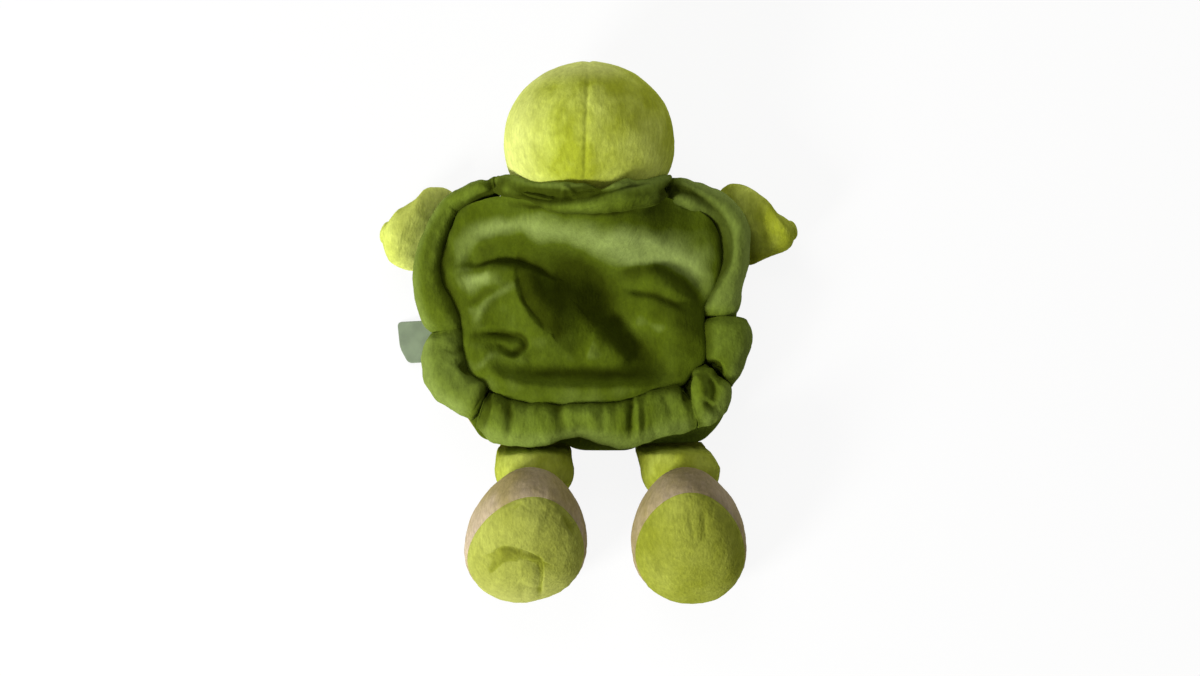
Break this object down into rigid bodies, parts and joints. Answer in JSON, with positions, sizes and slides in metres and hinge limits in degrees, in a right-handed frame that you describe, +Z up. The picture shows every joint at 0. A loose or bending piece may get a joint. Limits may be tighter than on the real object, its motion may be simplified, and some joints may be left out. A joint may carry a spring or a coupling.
{
  "type": "plush turtle hand puppet",
  "caption": "Plush turtle lying on its front, with a slack dark green shell over a hand pocket, a round lime head, mitten arms and bun-shaped feet with lime soles.",
  "frame": {"origin": "middle of the whole toy's box, on the surface it lies on", "axes": "+Y towards the head, +X to the right in the picture, +Z up from the belly to the shell"},
  "size_m": [0.2326, 0.298, 0.0917],
  "materials": {
    "lime_plush": "short-pile plush",
    "sole_plush": "short-pile plush",
    "shell_plush": "short-pile plush, brushed in patches",
    "beige_plush": "short-pile plush",
    "fibre_filling": "polyester fibre",
    "label_satin": "satin tape",
    "eye_plastic": "glossy",
    "mouth_thread": "stitched thread"
  },
  "bodies": {
    "trunk": {"belly_panel": "beige_plush", "belly_wadding": "fibre_filling", "back_panel": "shell_plush", "carapace_panel": "shell_plush", "collar_roll": "shell_plush", "rim_upper_left": "shell_plush", "rim_lower_left": "shell_plush", "hem_roll": "shell_plush", "rim_corner_right": "shell_plush", "rim_lower_right": "shell_plush", "rim_upper_right": "shell_plush"},
    "neck": {"neck": "lime_plush"},
    "head": {"head_cover_left": "lime_plush", "head_cover_right": "lime_plush", "head_filling": "fibre_filling", "eye_left": "eye_plastic", "eye_right": "eye_plastic", "mouth_stitch": "mouth_thread"},
    "label": {"care_label": "label_satin"},
    "arm_left": {"arm_left_cover": "lime_plush", "arm_left_filling": "fibre_filling"},
    "leg_left": {"leg_left_cover": "lime_plush", "leg_left_filling": "fibre_filling"},
    "foot_left": {"foot_left_upper": "beige_plush", "foot_left_sole": "sole_plush", "foot_left_filling": "fibre_filling"},
    "arm_right": {"arm_right_cover": "lime_plush", "arm_right_filling": "fibre_filling"},
    "leg_right": {"leg_right_cover": "lime_plush", "leg_right_filling": "fibre_filling"},
    "foot_right": {"foot_right_upper": "beige_plush", "foot_right_sole": "sole_plush", "foot_right_filling": "fibre_filling"}
  },
  "joints": [
    {"name": "neck_turn", "type": "hinge", "parent": "trunk", "child": "neck", "pos_m": [0.00037, 0.10303, 0.046], "axis": [0, 1, 0], "range_deg": [-45, 45]},
    {"name": "head_nod", "type": "hinge", "parent": "neck", "child": "head", "pos_m": [0.00037, 0.10303, 0.046], "axis": [1, 0, 0], "range_deg": [-20, 20]},
    {"name": "arm_left_flap", "type": "hinge", "parent": "trunk", "child": "arm_left", "pos_m": [-0.08233, 0.05951, 0.007], "axis": [-0.3129, -0.9498, 0], "range_deg": [-15, 75]},
    {"name": "arm_right_flap", "type": "hinge", "parent": "trunk", "child": "arm_right", "pos_m": [0.08306, 0.05951, 0.007], "axis": [-0.3129, 0.9498, 0], "range_deg": [-15, 75]},
    {"name": "leg_left_flap", "type": "hinge", "parent": "trunk", "child": "leg_left", "pos_m": [-0.02963, -0.0612, 0.007], "axis": [1, 0, 0], "range_deg": [-2, 80]},
    {"name": "leg_right_flap", "type": "hinge", "parent": "trunk", "child": "leg_right", "pos_m": [0.04784, -0.0612, 0.007], "axis": [1, 0, 0], "range_deg": [-2, 80]},
    {"name": "foot_left_tilt", "type": "hinge", "parent": "leg_left", "child": "foot_left", "pos_m": [-0.02963, -0.0747, 0.018], "axis": [1, 0, 0], "range_deg": [-25, 30]},
    {"name": "foot_right_tilt", "type": "hinge", "parent": "leg_right", "child": "foot_right", "pos_m": [0.0529, -0.0747, 0.018], "axis": [1, 0, 0], "range_deg": [-25, 30]},
    {"name": "label_flap", "type": "hinge", "parent": "trunk", "child": "label", "pos_m": [-0.08392, -0.00395, 0.007], "axis": [0, 1, 0], "range_deg": [-60, 60]}
  ]
}
